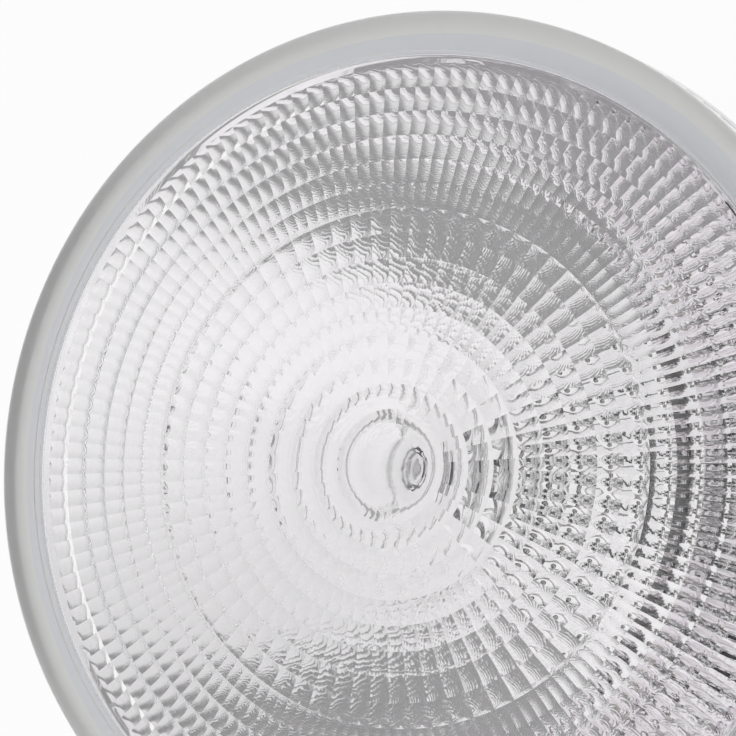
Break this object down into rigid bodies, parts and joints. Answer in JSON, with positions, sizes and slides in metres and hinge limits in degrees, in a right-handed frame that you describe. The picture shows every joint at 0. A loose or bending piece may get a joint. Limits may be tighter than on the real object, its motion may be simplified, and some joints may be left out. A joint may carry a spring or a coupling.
{
  "type": "par spotlight bulb",
  "caption": "Sealed reflector spotlight bulb: clear domed lens with a faceted back, aluminised glass bowl, halogen capsule, metal skirt and screw base.",
  "frame": {"origin": "on the lamp's axis, at the lowest point of the centre contact's solder, where the lamp meets its holder", "axes": "+Z from the screw base to the lens along the lamp's axis; +X the live side, -X the neutral side with the side solder"},
  "size_m": [0.121, 0.121, 0.135],
  "materials": {
    "lens_glass": "clear pressed borosilicate glass, polished in front, moulded pillows behind",
    "adhesive": "grey-green translucent adhesive",
    "aluminised_glass": "pressed glass bowl with a vapour-deposited aluminium mirror inside",
    "quartz": "clear fused quartz",
    "tungsten": "drawn tungsten wire",
    "molybdenum": "bare molybdenum",
    "nickel_wire": "nickel-plated wire",
    "ferrule_alloy": "nickel-iron sealing alloy",
    "copper_wire": "copper-clad wire",
    "woven_sleeve": "woven glass-fibre sleeve",
    "fuse_glass": "clear soft glass",
    "solder": "solidified solder",
    "skirt_aluminium": "drawn aluminium, satin",
    "cement": "baked mineral cement",
    "shell_aluminium": "rolled aluminium, semi-bright",
    "insulator_glass": "black opaque moulded glass",
    "contact_brass": "stamped brass"
  },
  "bodies": {
    "root": {"lens": "lens_glass", "rim_seal": "adhesive", "reflector": "aluminised_glass", "capsule": "quartz", "filament": "tungsten", "upper_lead": "molybdenum", "lower_lead": "molybdenum", "live_foil": "molybdenum", "neutral_foil": "molybdenum", "live_pin": "molybdenum", "neutral_pin": "molybdenum", "live_post": "nickel_wire", "neutral_post": "nickel_wire", "live_ferrule": "ferrule_alloy", "neutral_ferrule": "ferrule_alloy", "live_wire_upper": "copper_wire", "live_wire_lower": "copper_wire", "insulating_sleeve": "woven_sleeve", "fuse_tube": "fuse_glass", "fuse_wire": "nickel_wire", "neutral_wire": "copper_wire", "side_solder": "solder", "skirt": "skirt_aluminium", "neck_cement": "cement", "screw_shell": "shell_aluminium", "insulator": "insulator_glass", "centre_contact": "contact_brass", "contact_solder": "solder"}
  },
  "joints": []
}
